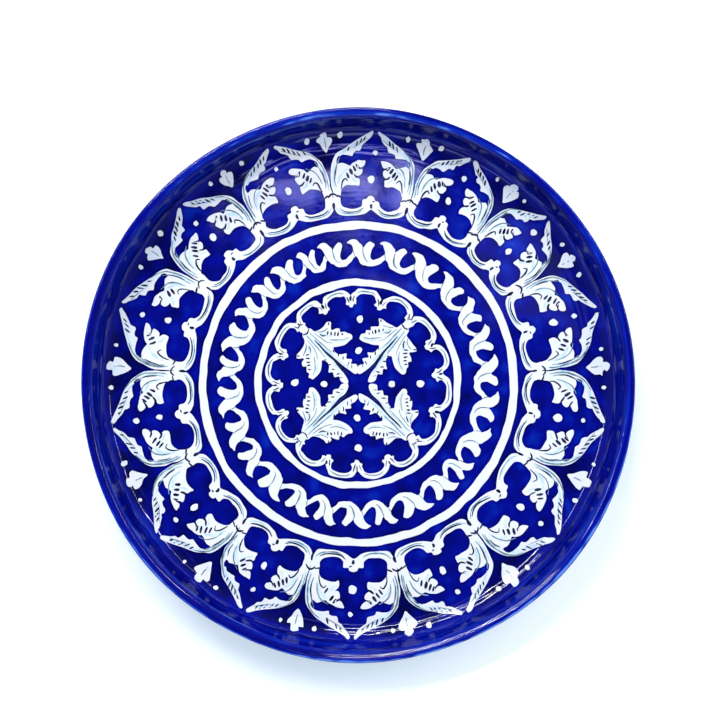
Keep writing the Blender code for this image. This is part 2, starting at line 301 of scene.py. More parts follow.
def lift_of_wall(radius):
    """Height of the curve between the floor and the wall above the floor."""
    past = np.clip(radius - FLOOR_RADIUS, 0.0, FLOOR_FILLET * 0.98)
    return FLOOR_FILLET - np.sqrt(FLOOR_FILLET ** 2 - past ** 2)


def lift(x, y):
    """Height of the glazed floor above its nominal plane: a slow swell, and the foot of the wall."""
    radius = np.hypot(x, y)
    fade = np.clip((SWELL_END - radius) / SWELL_FADE, 0.0, 1.0)
    swollen = (SWELL_DEPTH * SWELL(x, y) + RIPPLE_DEPTH * RIPPLE(x, y)) * fade
    turn = np.arctan2(x, y)
    start = climb(radius, RIDGES_START, RIDGES_START_FADE)
    end = np.clip((RIDGES_END - radius) / RIDGES_END_FADE, 0.0, 1.0)
    weave = 2.0 * np.sin(turn * 2 + 0.6) + 1.5 * RIPPLE(x, y)
    ridges = RIDGE_DEPTH * np.sin(RIDGE_PITCH * radius + weave)
    return swollen + ridges * (start * end) + lift_of_wall(radius)


def polar(angle_deg, radius):
    """A point by its angle clockwise from +Y and its radius."""
    angle = math.radians(angle_deg)
    return radius * math.sin(angle), radius * math.cos(angle)


def along_spoke(angle_deg, along, across):
    """A point at a distance along the spoke at this angle, and across it clockwise."""
    angle = math.radians(angle_deg)
    return (along * math.sin(angle) + across * math.cos(angle),
            along * math.cos(angle) - across * math.sin(angle))


def mix(first, second, value, low, high):
    """Goes from the first to the second as the value goes from low to high."""
    return (high - value) / (high - low) * first + (value - low) / (high - low) * second


def smooth(points, closed, spacing=0.45):
    """A centripetal Catmull-Rom curve through the points, as an array of points."""
    ring = np.array(points, float)
    count = len(ring)
    if closed:
        ring = np.vstack((ring[-1], ring, ring[:2]))
    else:
        ring = np.vstack((2 * ring[0] - ring[1], ring, 2 * ring[-1] - ring[-2]))
    out = []
    for index in range(count if closed else count - 1):
        p0, p1, p2, p3 = ring[index:index + 4]
        t1 = max(np.linalg.norm(p1 - p0), 1e-6) ** 0.5
        t2 = t1 + max(np.linalg.norm(p2 - p1), 1e-6) ** 0.5
        t3 = t2 + max(np.linalg.norm(p3 - p2), 1e-6) ** 0.5
        steps = max(2, int(round(np.linalg.norm(p2 - p1) / spacing)))
        t = np.linspace(t1, t2, steps, endpoint=False)[:, None]
        a1, a2, a3 = mix(p0, p1, t, 0.0, t1), mix(p1, p2, t, t1, t2), mix(p2, p3, t, t2, t3)
        b1, b2 = mix(a1, a2, t, 0.0, t2), mix(a2, a3, t, t1, t3)
        out.append(mix(b1, b2, t, t1, t2))
    if not closed:
        out.append(ring[-2][None, :])
    return np.vstack(out)


def by_hand(points):
    """Moves an outline a little, as the hand isn't steady and the pattern isn't quite round."""
    x, y = points[:, 0], points[:, 1]
    tall = PATTERN_TALL * y - TOP_SQUEEZE * np.maximum(y - 90.0, 0.0)
    return np.column_stack((PATTERN_WIDE * x + PATTERN_SHIFT[0] + WOBBLE_DEPTH * WOBBLE_X(x, y),
                            tall + PATTERN_SHIFT[1] + WOBBLE_DEPTH * WOBBLE_Y(x, y)))


def jitter(points, rng, size, fixed=()):
    """Shifts each control point by a seeded random step, less the fixed ones."""
    moved = []
    for index, (a, b) in enumerate(points):
        reach = 0.0 if index in fixed else size
        moved.append((a + rng.gauss(0, reach), b + rng.gauss(0, reach)))
    return moved


def both_sides(half, rng, size, flip=(-1, 1)):
    """A closed outline: the half one and its mirror image, each shaken but for their ends."""
    last = len(half) - 1
    right, left = (jitter(half, rng, size, (0, last)) for _ in range(2))
    return right + [(a * flip[0], b * flip[1]) for a, b in left[last - 1:0:-1]]


def blob(centre, across, along, angle_deg, rng, sides=9):
    """A brushed dot: an uneven oval, long along the spoke at this angle."""
    points = []
    for side in range(sides):
        turn = 2 * math.pi * side / sides
        size = rng.uniform(0.86, 1.12)
        dx, dy = along_spoke(angle_deg, along * size * math.cos(turn),
                             across * size * math.sin(turn))
        points.append((centre[0] + dx, centre[1] + dy))
    return by_hand(smooth(points, True, 0.35))


BLUNT = 0.35


def stroke(path, width, rng):
    """The outline of one brush or liner stroke along a path, with tapered ends."""
    line = smooth(path, False, 0.35)
    if len(line) < 5:
        share = np.linspace(0, len(line) - 1, 6)
        line = np.column_stack([np.interp(share, range(len(line)), line[:, k]) for k in (0, 1)])
    along = np.gradient(line, axis=0)
    length = np.maximum(np.linalg.norm(along, axis=1), 1e-9)
    side = np.column_stack((-along[:, 1], along[:, 0])) / length[:, None]
    share = np.linspace(0.0, 1.0, len(line))
    heavy = rng.uniform(0.3, 0.6)
    shape = np.where(share < heavy, share / heavy, (1 - share) / (1 - heavy))
    half = 0.5 * width * rng.uniform(0.85, 1.15) * (BLUNT + (1 - BLUNT) * np.sqrt(shape))
    return np.vstack((line + side * half[:, None], (line - side * half[:, None])[::-1]))


# ---- Meshes ----

def add_object(name, data):
    item = bpy.data.objects.new(name, data)
    bpy.context.scene.collection.objects.link(item)
    return item


def read(items, key):
    """A vector of each item, as the rows of an array."""
    values = np.empty(len(items) * 3)
    items.foreach_get(key, values)
    return values.reshape(-1, 3)


def rise_normals(x, y):
    """Unit normals of the lifted floor at these points."""
    step = 0.05
    slope_x = (lift(x + step, y) - lift(x - step, y)) / (2 * step)
    slope_y = (lift(x, y + step) - lift(x, y - step)) / (2 * step)
    normals = np.column_stack((-slope_x, -slope_y, np.ones(len(x))))
    return normals / np.linalg.norm(normals, axis=1)[:, None]


MERGE_DISTANCE = 1e-4
# The cuts of a large patch are set off a little from the round numbers, to miss its corners.
CUT_SPACING, CUT_OFFSET = 3.0, 0.013


def patch(name, loops, top, material, edge=ENAMEL_EDGE, bottom=-SUNK, cell=CUT_SPACING):
    """A thin raised patch with a rounded edge over the area of the loops, laid on the glaze.

    It is cut into cells, unless cell is 0, so that it can follow the uneven floor.
    """
    data = bpy.data.curves.new(name, "CURVE")
    data.dimensions, data.fill_mode = "2D", "BOTH"
    data.extrude = (top - bottom) / 2 - edge
    data.bevel_depth, data.bevel_resolution, data.offset = edge, 1 if edge > 0.05 else 0, -edge
    for loop in loops:
        spline = data.splines.new("POLY")
        spline.points.add(len(loop) - 1)
        flat = np.column_stack((loop, np.zeros(len(loop)), np.ones(len(loop))))
        spline.points.foreach_set("co", flat.ravel())
        spline.use_cyclic_u = True
    guide = add_object(name, data)
    graph = bpy.context.evaluated_depsgraph_get()
    mesh = bpy.data.meshes.new_from_object(guide.evaluated_get(graph))
    bpy.data.objects.remove(guide)
    bpy.data.curves.remove(data)
    bm = bmesh.new()
    bm.from_mesh(mesh)
    bmesh.ops.remove_doubles(bm, verts=bm.verts[:], dist=MERGE_DISTANCE)
    if cell:
        edges = np.vstack(loops)
        for axis in (0, 1):
            first = math.ceil(edges[:, axis].min() / cell)
            for line in range(first, math.floor(edges[:, axis].max() / cell) + 1):
                normal = (1, 0, 0) if axis == 0 else (0, 1, 0)
                spot = Vector(normal) * (line * cell + CUT_OFFSET)
                bmesh.ops.bisect_plane(bm, geom=bm.verts[:] + bm.edges[:] + bm.faces[:],
                                       dist=1e-5, plane_co=spot, plane_no=normal)
    bmesh.ops.recalc_face_normals(bm, faces=bm.faces[:])
    bm.to_mesh(mesh)
    bm.free()
    mesh.shade_smooth()
    points = read(mesh.vertices, "co")
    level = np.array([polygon.normal.z > 0.99 for polygon in mesh.polygons])
    corners = [len(polygon.vertices) for polygon in mesh.polygons]
    corner_face = np.repeat(np.arange(len(mesh.polygons)), corners)
    corner_vertex = np.empty(len(mesh.loops), dtype=int)
    mesh.loops.foreach_get("vertex_index", corner_vertex)
    points[:, 2] += (top + bottom) / 2 + FLOOR_TOP + lift(points[:, 0], points[:, 1])
    mesh.vertices.foreach_set("co", (points * MM).ravel())
    mesh.update()
    normals = read(mesh.corner_normals, "vector")
    on_top = level[corner_face]
    spots = points[corner_vertex[on_top]]
    normals[on_top] = rise_normals(spots[:, 0], spots[:, 1])
    mesh.normals_split_custom_set(normals.tolist())
    mesh.materials.clear()
    mesh.materials.append(material)
    mesh.name = name
    return add_object(name, mesh)


def turned_skin(name, path, segments, materials, slot_of, shape):
    """Turns a path of (radius, height) points that starts on the axis, made uneven by shape."""
    rings = np.array(path[1:], float)
    angles = np.arange(segments) * 2 * math.pi / segments
    radius = np.repeat(rings[:, 0][:, None], segments, 1)
    height = np.repeat(rings[:, 1][:, None], segments, 1)
    radius, height = shape(radius, height, angles[None, :])
    points = np.stack((radius * np.sin(angles), radius * np.cos(angles), height), -1)
    hub = len(rings) * segments
    points = np.vstack((points.reshape(-1, 3), (0.0, 0.0, path[0][1] + lift(0.0, 0.0))))
    faces = []
    for ring in range(len(rings) - 1):
        a, b = ring * segments, (ring + 1) * segments
        for step in range(segments):
            after = (step + 1) % segments
            faces.append((a + step, a + after, b + after, b + step))
    faces += [(hub, (step + 1) % segments, step) for step in range(segments)]
    mesh = bpy.data.meshes.new(name)
    mesh.from_pydata((points * MM).tolist(), [], faces)
    mesh.update()
    bm = bmesh.new()
    bm.from_mesh(mesh)
    bmesh.ops.recalc_face_normals(bm, faces=bm.faces[:])
    bm.to_mesh(mesh)
    bm.free()
    mesh.shade_smooth()
    for material in materials:
        mesh.materials.append(material)
    for polygon in mesh.polygons:
        middle = polygon.center / MM
        polygon.material_index = slot_of(math.hypot(middle.x, middle.y), middle.z)
    return add_object(name, mesh)


# ---- Materials ----

class Nodes:
    """Short names for making and joining shader nodes."""

    def __init__(self, name):
        self.material = bpy.data.materials.new(name)
        self.material.use_nodes = True
        self.tree = self.material.node_tree
        self.shader = self.tree.nodes["Principled BSDF"]

    def add(self, kind, **settings):
        node = self.tree.nodes.new(kind)
        for key, value in settings.items():
            setattr(node, key, value)
        return node

    def join(self, source, target):
        self.tree.links.new(source, target)

    def put(self, socket, value):
        if isinstance(value, bpy.types.NodeSocket):
            self.join(value, socket)
        else:
            socket.default_value = value

    def math(self, operation, first, second, clamp=False):
        node = self.add("ShaderNodeMath", operation=operation, use_clamp=clamp)
        self.put(node.inputs[0], first)
        self.put(node.inputs[1], second)
        return node.outputs[0]

    def total(self, *parts):
        """The sum of some values, each times its weight."""
        terms = [self.math("MULTIPLY", value, weight) for value, weight in parts]
        while len(terms) > 1:
            terms[:2] = [self.math("ADD", *terms[:2])]
        return terms[0]

    def vector(self, operation, first):
        node = self.add("ShaderNodeVectorMath", operation=operation)
        self.join(first, node.inputs[0])
        return node

    def noise(self, vector, scale, detail=3.0, roughness=0.5, distortion=0.0):
        node = self.add("ShaderNodeTexNoise")
        self.put(node.inputs["Vector"], vector)
        node.inputs["Scale"].default_value = scale
        node.inputs["Detail"].default_value = detail
        node.inputs["Roughness"].default_value = roughness
        node.inputs["Distortion"].default_value = distortion
        return node.outputs["Fac"]

    def ramp(self, factor, *stops):
        node = self.add("ShaderNodeValToRGB")
        elements = node.color_ramp.elements
        while len(elements) < len(stops):
            elements.new(0.5)
        for element, (place, colour) in zip(elements, stops):
            element.position = place
            element.color = (*colour, 1.0)
        self.put(node.inputs["Fac"], factor)
        return node.outputs["Color"]

    def span(self, value, low, high, out_low=0.0, out_high=1.0):
        node = self.add("ShaderNodeMapRange", clamp=True)
        self.put(node.inputs["Value"], value)
        limits = {"From Min": low, "From Max": high, "To Min": out_low, "To Max": out_high}
        for key, number in limits.items():
            node.inputs[key].default_value = number
        return node.outputs["Result"]

    def blend(self, factor, first, second):
        node = self.add("ShaderNodeMix", data_type="RGBA")
        self.put(node.inputs["Factor"], factor)
        self.put(node.inputs[6], first)
        self.put(node.inputs[7], second)
        return node.outputs[2]

    def place(self):
        return self.add("ShaderNodeTexCoord").outputs["Object"]

    def rings(self, place, around, outward):
        """The radius, and coordinates that are drawn out along circles round the axis."""
        split = self.add("ShaderNodeSeparateXYZ")
        self.join(place, split.inputs[0])
        flat, rise = self.add("ShaderNodeCombineXYZ"), self.add("ShaderNodeCombineXYZ")
        self.join(split.outputs["X"], flat.inputs["X"])
        self.join(split.outputs["Y"], flat.inputs["Y"])
        radius = self.vector("LENGTH", flat.outputs[0]).outputs["Value"]
        wide = self.vector("SCALE", self.vector("NORMALIZE", flat.outputs[0]).outputs[0])
        wide.inputs["Scale"].default_value = around
        self.join(self.total((radius, outward), (split.outputs["Z"], outward)), rise.inputs["Z"])
        drawn = self.vector("ADD", wide.outputs[0])
        self.join(rise.outputs[0], drawn.inputs[1])
        return radius, drawn.outputs[0]

    def bump(self, height, distance, strength=1.0, normal=None):
        node = self.add("ShaderNodeBump")
        node.inputs["Strength"].default_value = strength
        node.inputs["Distance"].default_value = distance
        self.join(height, node.inputs["Height"])
        if normal:
            self.join(normal, node.inputs["Normal"])
        return node.outputs["Normal"]

    def finish(self, colour, roughness, normal=None, **fixed):
        self.put(self.shader.inputs["Base Color"], colour)
        self.put(self.shader.inputs["Roughness"], roughness)
        if normal:
            self.join(normal, self.shader.inputs["Normal"])
        for key, value in fixed.items():
            self.shader.inputs[key.replace("_", " ")].default_value = value
        return self.material


# The cobalt from its deepest to its thinnest.
NAVY = (0.0008, 0.0014, 0.040)
DEEP = (0.0008, 0.0018, 0.105)
COBALT = (0.0010, 0.0030, 0.200)
ULTRAMARINE = (0.002, 0.022, 0.340)
PERIWINKLE = (0.11, 0.24, 0.66)


def cobalt_material(name, index):
    """Brushed cobalt under a clear glaze of this refractive index, as deep as the mesh's tone."""
    n = Nodes(name)
    place = n.place()
    radius, circles = n.rings(place, 2.2, 420.0)
    tone = n.add("ShaderNodeAttribute", attribute_name="tone").outputs["Fac"]
    streak = n.noise(circles, 1.0, 4.0, 0.6)
    brush = n.noise(place, 95.0, 4.0, 0.55, 0.6)
    fine = n.noise(place, 420.0, 2.0, 0.5)
    # Painted light: paler and darker bands along circles on the fillet and wall, for the streaks of
    # light on the throwing lines.
    painted_wall_streaks = n.noise(circles, 0.42, 2.0, 0.6)
    share = n.span(radius, 0.135, 0.141, 0.0, 1.35)
    mixed = n.total((brush, 0.22), (streak, 0.16), (fine, 0.05),
                    (n.math("SUBTRACT", painted_wall_streaks, 0.5), share))
    value = n.math("ADD", tone, n.math("SUBTRACT", mixed, 0.215), clamp=True)
    colour = n.ramp(value, (0.12, NAVY), (0.34, DEEP), (0.54, COBALT), (0.80, ULTRAMARINE),
                    (1.0, PERIWINKLE))
    grooves = n.noise(circles, 1.3, 1.5, 0.5)
    wall = n.math("ADD", n.span(radius, 0.122, 0.133, 0.04, 0.35),
                  n.span(radius, 0.143, 0.1455, 0.0, 0.55))
    normal = n.bump(n.math("MULTIPLY", grooves, wall), 0.00009, 1.0)
    normal = n.bump(brush, 0.000012, 1.0, normal)
    rough = n.span(fine, 0.3, 0.7, 0.035, 0.07)
    return n.finish(colour, rough, normal, IOR=index)


def back_material():
    n = Nodes("cobalt_glaze_back")
    place = n.place()
    _, circles = n.rings(place, 2.0, 300.0)
    streak = n.noise(circles, 1.0, 4.0, 0.6)
    cloud = n.noise(place, 30.0, 3.0, 0.5)
    value = n.total((streak, 0.6), (cloud, 0.4))
    colour = n.ramp(value, (0.30, NAVY), (0.46, DEEP), (0.58, COBALT), (0.74, ULTRAMARINE))
    normal = n.bump(streak, 0.0005, 0.6)
    return n.finish(colour, n.span(cloud, 0.3, 0.7, 0.10, 0.18), normal, IOR=1.5)


def enamel_material():
    n = Nodes("white_enamel_painted")
    place = n.place()
    radius, circles = n.rings(place, 2.2, 420.0)
    cloud = n.noise(place, 110.0, 3.0, 0.55)
    brush = n.noise(circles, 0.9, 3.0, 0.5)
    thin = n.span(radius, 0.119, 0.127, 0.0, 0.22)
    washy = n.span(n.math("ADD", cloud, n.math("MULTIPLY", thin, 0.55)), 0.52, 0.86, 0.0, 0.85)
    colour = n.blend(washy, (0.675, 0.69, 0.705, 1.0), (0.58, 0.69, 0.81, 1.0))
    edge_of_wall = n.span(radius, 0.125, 0.137, 0.1, 1.0)
    grooves = n.noise(circles, 2.6, 2.0, 0.5)
    normal = n.bump(n.math("MULTIPLY", grooves, edge_of_wall), 0.0003, 0.7)
    normal = n.bump(brush, 0.00012, 0.4, normal)
    return n.finish(colour, n.span(cloud, 0.3, 0.7, 0.12, 0.22), normal, IOR=1.5)


def ink_material(name, dark, light):
    n = Nodes(name)
    place = n.place()
    flow = n.noise(place, 260.0, 3.0, 0.55)
    return n.finish(n.ramp(flow, (0.36, dark), (0.66, light)), n.span(flow, 0.3, 0.7, 0.12, 0.22),
                    n.bump(flow, 0.00006, 0.4), IOR=1.5)


def clay_material(name, dark, light):
    n = Nodes(name)
    place = n.place()
    cloud = n.noise(place, 60.0, 5.0, 0.6)
    grain = n.noise(place, 1400.0, 3.0, 0.6)
    value = n.total((cloud, 0.7), (grain, 0.3))
    normal = n.bump(grain, 0.00025, 0.6)
    colour = n.ramp(value, (0.32, dark), (0.68, light))
    return n.finish(colour, n.span(grain, 0.3, 0.7, 0.72, 0.9), normal)


cobalt = cobalt_material("cobalt_glaze_painted", 1.5)
wall_cobalt = cobalt_material("cobalt_glaze_wall", 1.06)
back = back_material()
enamel = enamel_material()
ink = ink_material("ink_dark", (0.004, 0.005, 0.018), (0.020, 0.026, 0.070))
wash = ink_material("ink_grey_green", (0.05, 0.10, 0.13), (0.24, 0.36, 0.38))
pale = ink_material("enamel_pale_blue", (0.40, 0.57, 0.70), (0.60, 0.70, 0.76))
clay = clay_material("earthenware", (0.40, 0.17, 0.085), (0.62, 0.32, 0.18))
foot_clay = clay_material("earthenware_foot", (0.44, 0.20, 0.11), (0.68, 0.38, 0.23))


# ---- The painted pattern ----

outlines = []


def ride(piece, slot, *nodes):
    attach(piece, "root")
    if nodes:
        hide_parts(*nodes)


def ride_enamel(name, loops, *nodes, top=ENAMEL_TOP):
    """Lays white patches on the glaze, in place of these CAD nodes."""
    ride(patch(name, loops, top, enamel), "white_enamel", *nodes)


def ride_lines(name, lines, top, material, edge=LINE_EDGE, slot="cobalt_glaze"):
    """Lays painted lines on the enamel and the glaze, sunk a little into them."""
    ride(patch(name, lines, top, material, edge, LINE_BOTTOM, 0), slot)


def petal_point(middle, reach, x, along):
    """A point drawn for a petal of the standard width, on a petal of this middle and half width."""
    angle = math.degrees(math.atan2(x, along)) * reach / PETAL_HALF_WIDTH_DEG
    return polar(middle + angle, math.hypot(x, along))


def make_petal(index):
    rng = random.Random(100 + index)
    end = KNOT_AT[index]
    start = KNOT_AT[index - 1] - (360 if index == 0 else 0)
    middle, reach = (start + end) / 2, (end - start) / 2
    drawn = both_sides(PETAL_HALF, rng, 0.17)
    loop = by_hand(smooth([petal_point(middle, reach, *point) for point in drawn], True))
    loops = [loop]
    for radius, across, along in PETAL_DOTS:
        size = rng.uniform(0.82, 1.15)
        centre = polar(middle + rng.gauss(0, 0.35), radius + rng.gauss(0, 0.7))
        loops.append(blob(centre, across * size, along * size, middle + rng.gauss(0, 9), rng))
    outlines.extend(loops)
    number = f"{index + 1:02d}"
    ride_enamel(f"petal_enamel_{number}", loops, f"petal_{number}")
    layers = (("pale", "white_enamel", PETAL_PALE, pale, 0.8, PALE_TOP),
              ("wash", "cobalt_glaze", PETAL_WASH, wash, 0.9, INK_TOP),
              ("ink", "cobalt_glaze", PETAL_INK, ink, 0.95, DARK_INK_TOP))
    for kind, slot, strokes, material, low, top in layers:
        lines = []
        for side in (1, -1):
            for path, width in strokes:
                if rng.random() < PETAL_MISSED:
                    continue
                shift = (rng.gauss(0, 0.16), rng.gauss(0, 0.2))
                path = [(side * (x + shift[0]), along + shift[1]) for x, along in path]
                path = [petal_point(middle, reach, *point) for point in jitter(path, rng, 0.1)]
                lines.append(by_hand(stroke(path, width * rng.uniform(low, 1.35), rng)))
        if kind == "ink":
            for path, width in FINIAL_INK:
                path = [petal_point(middle, reach, *point) for point in jitter(path, rng, 0.12)]
                lines.append(by_hand(stroke(path, width, rng)))
        ride_lines(f"petal_{kind}_{number}", lines, top, material, FINE_LINE_EDGE, slot)


def make_knots():
    beads, lines = [], []
    rng = random.Random(300)
    for angle in KNOT_AT:
        centre = polar(angle, KNOT_RADIUS)
        size = rng.uniform(0.9, 1.1)
        beads.append(blob(centre, KNOT_SIZE[0] * size, KNOT_SIZE[1] * size, angle, rng))
        for path, width in KNOT_INK:
            path = [along_spoke(angle, along, across) for across, along in jitter(path, rng, 0.1)]
            lines.append(by_hand(stroke(path, width * rng.uniform(0.8, 1.1), rng)))
    ride_enamel("knot_beads", beads, top=KNOT_TOP)
    ride_lines("knot_ink", lines, KNOT_INK_TOP, ink)


def make_hearts():
    ribs, dots = [], []
    for index, angle in enumerate(KNOT_AT):
        rng = random.Random(400 + index)
        drawn = both_sides(HEART_HALF, rng, 0.22)
        lean = rng.gauss(0, 0.05)
        grown = HEART_SIZE - HEART_SHRINK * math.cos(math.radians(angle))
        size = rng.uniform(0.94, 1.08) * grown
        points = [along_spoke(angle, HEART_RADIUS + along * size, across * size + lean * along)
                  for across, along in drawn]
        loop = by_hand(smooth(points, True))
        outlines.append(loop)
        number = f"{index + 1:02d}"
        ride_enamel(f"heart_enamel_{number}", [loop], f"heart_{number}")
        rib = [along_spoke(angle, HEART_RADIUS + along, across)
               for across, along in jitter(HEART_RIB, rng, 0.2)]
        ribs.append(by_hand(stroke(rib, HEART_RIB_WIDTH, rng)))
        for side in (-1, 1):
            dot_angle = angle + side * rng.gauss(HEART_DOT_DEG, 0.35)
            centre = polar(dot_angle, HEART_DOT_RADIUS + rng.gauss(0, 0.4))
            size = rng.uniform(0.65, 1.15)
            dots.append(blob(centre, HEART_DOT_SIZE[0] * size, HEART_DOT_SIZE[1] * size,
                             angle + rng.gauss(0, 12), rng))
    outlines.extend(dots)
    ride_lines("heart_ribs", ribs, INK_TOP, wash)
    ride_enamel("heart_dots", dots)


def make_rings():
    rings = (("ring_outer", OUTER_RING_RADII, 31), ("ring_inner", INNER_RING_RADII, 32))
    for name, radii, seed in rings:
        loops = []
        for edge, radius in enumerate(radii):
            rough = field(seed + edge * 7, RING_WAVELENGTHS[0])
            slow = field(seed + edge * 7 + 3, RING_WAVELENGTHS[1])
            count = int(radius * 2 * math.pi / RING_SPACING)
            turn = np.arange(count) * 2 * math.pi / count
            x, y = radius * np.sin(turn), radius * np.cos(turn)
            reach = radius + RING_DEPTHS[0] * rough(x, y) + RING_DEPTHS[1] * slow(x, y)
            loops.append(by_hand(np.column_stack((reach * np.sin(turn), reach * np.cos(turn)))))
        outlines.extend(loops)
        ride_enamel(f"{name}_enamel", loops[::-1], name)


def repeats(starts, motif):
    """Goes round the starts in degrees and yields each one with the motif's points placed there."""
    count = len(starts)
    for index, start in enumerate(starts):
        pitch = (starts[(index + 1) % count] - start) % 360
        after = (starts[(index + 2) % count] - starts[(index + 1) % count]) % 360
        yield start, pitch, [
            (start + (share * pitch if share <= 1 else pitch + (share - 1) * after), radius)
            for share, radius in motif]


def make_ribbon():
    rng = random.Random(500)
    outer, inner, lines = [], [], []
    for _, _, points in repeats(HOOK_AT, RIBBON_OUTER):
        outer += jitter([polar(*point) for point in points], rng, 0.15)
    for _, _, points in repeats(HOOK_AT, RIBBON_INNER):
        inner += jitter([polar(*point) for point in points], rng, 0.18)
    for motif, width in RIBBON_INK:
        for _, _, points in repeats(HOOK_AT, motif):
            path = jitter([polar(*point) for point in points], rng, 0.12)
            lines.append(by_hand(stroke(path, width * rng.uniform(0.6, 1.1), rng)))
    loops = [by_hand(smooth(outer, True)), by_hand(smooth(inner, True))]
    outlines.extend(loops)
    ride_enamel("ribbon_enamel", loops, "ribbon_band")
    ride_lines("ribbon_wash", lines, INK_TOP, wash)


def hand_strokes(rng, place, strokes, shake=0.12, low=0.85, high=1.15):
    """The outlines of painted strokes; place turns each point of a path into x and y."""
    lines = []
    for path, width in strokes:
        points = jitter([place(*point) for point in path], rng, shake)
        lines.append(by_hand(stroke(points, width * rng.uniform(low, high), rng)))
    return lines


def make_medallion():
    rng = random.Random(600)
    outer, inner, lines, spots = [], [], [], []
    for start, pitch, points in repeats(CUSP_AT, LOBE_OUTER):
        outer += jitter([polar(*point) for point in points], rng, 0.2)
        lobe = lambda share, radius: polar(start + share * pitch, radius)
        lines += hand_strokes(rng, lobe, (LOBE_WASH,))
        spots += hand_strokes(rng, lobe, LOBE_INK, 0.2, 0.6, 1.2)
    for _, _, points in repeats(CUSP_AT, LOBE_INNER):
        inner += jitter([polar(*point) for point in points], rng, 0.2)
    loops = [by_hand(smooth(outer, True, 0.35)), by_hand(smooth(inner, True, 0.35))]
    outlines.extend(loops)
    ride_enamel("medallion_border_enamel", loops, "medallion_border")
    beads, shades = [], []
    for number, cusp in enumerate(SPRAY_CUSPS, start=1):
        angle = CUSP_AT[cusp]
        drawn = both_sides(SPRAY_HALF, rng, 0.25, (1, -1))
        loop = by_hand(smooth([along_spoke(angle, *point) for point in drawn], True, 0.35))
        outlines.append(loop)
        ride_enamel(f"medallion_spray_enamel_{number}", [loop], f"medallion_spray_{number}")
        for side in (1, -1):
            spray = lambda along, across: along_spoke(angle, along, side * across)
            spots += hand_strokes(rng, spray, SPRAY_INK, 0.18)
            lines += hand_strokes(rng, spray, SPRAY_WASH, 0.18)
            shades += hand_strokes(rng, spray, SPRAY_PALE, 0.18)
        spray = lambda *point: along_spoke(angle, *point)
        spots += hand_strokes(rng, spray, (SPRAY_VEIN,) + BEAD_INK)
        beads.append(blob(polar(angle, BEAD_RADIUS), *BEAD_SIZE, angle, rng))
    ride_enamel("medallion_beads", beads, top=KNOT_TOP)
    ride_lines("medallion_pale", shades, PALE_TOP, pale, FINE_LINE_EDGE, "white_enamel")
    ride_lines("medallion_wash", lines, INK_TOP, wash)
    ride_lines("medallion_ink", spots, DARK_INK_TOP, ink)
    dots = []
    for quarter in range(4):
        for radius in DOT_CIRCLES:
            centre = polar(90 * quarter + rng.gauss(0, 1.6), radius + rng.gauss(0, 0.5))
            size = rng.uniform(0.85, 1.15)
            dots.append(blob(centre, DOT_SIZE[0] * size, DOT_SIZE[1] * size,
                             rng.uniform(0, 180), rng))
    outlines.extend(dots)
    ride_enamel("medallion_dots", dots, *(f"dot_{number}" for number in range(1, 9)))


# ---- The glazed surface ----

def arc(centre, radius, start_deg, end_deg, steps):
    turn = np.radians(np.linspace(start_deg, end_deg, steps + 1))
    return list(zip(centre[0] + radius * np.cos(turn), centre[1] + radius * np.sin(turn)))


def straight(start, end, steps):
    return [tuple(np.array(start) + (np.array(end) - start) * k / steps) for k in range(1, steps)]


# The plate's unevenness: a waving rim, a little below its full height, and throwing lines.
RIM_WAVE = field(41, 0.9)
RIM_WAVE_DEPTH, RIM_WAVE_LIFT, RIM_DROP = 0.55, 0.5, 0.2
THROWING_DEPTH, THROWING_PITCH = 0.07, 2.5
WELL_RADIUS = 143.0


def uneven(radius, height, angle):
    """The unevenness of a plate thrown by hand, less at the foot so that it stands flat."""
    x, y = radius * np.sin(angle), radius * np.cos(angle)
    inside = ((radius < WELL_RADIUS) & (height > FLOOR_TOP - 0.5)
              & (height < FLOOR_TOP + FLOOR_FILLET))
    rise = np.where(inside, lift(x, y) - lift_of_wall(radius), 0.0)
    share = climb(height, FLOOR_TOP, HEIGHT - FLOOR_TOP) ** 2
    wave = RIM_WAVE_DEPTH * share * RIM_WAVE(np.sin(angle), np.cos(angle))
    lines = np.sin(height * THROWING_PITCH + 1.5 * np.sin(angle * 2))
    throwing = THROWING_DEPTH * lines * np.sin(np.pi * share) ** 0.5
    return (radius + wave + np.where(inside, 0.0, throwing),
            height + rise + RIM_WAVE_LIFT * wave - RIM_DROP * share)


def on_wall(radius, height):
    """1 on the steep inner wall, whose thin glaze shines less, and 0 elsewhere."""
    return int(THIN_GLAZE_RADII[0] < radius < THIN_GLAZE_RADII[1]
               and THIN_GLAZE_HEIGHTS[0] < height < THIN_GLAZE_HEIGHTS[1])


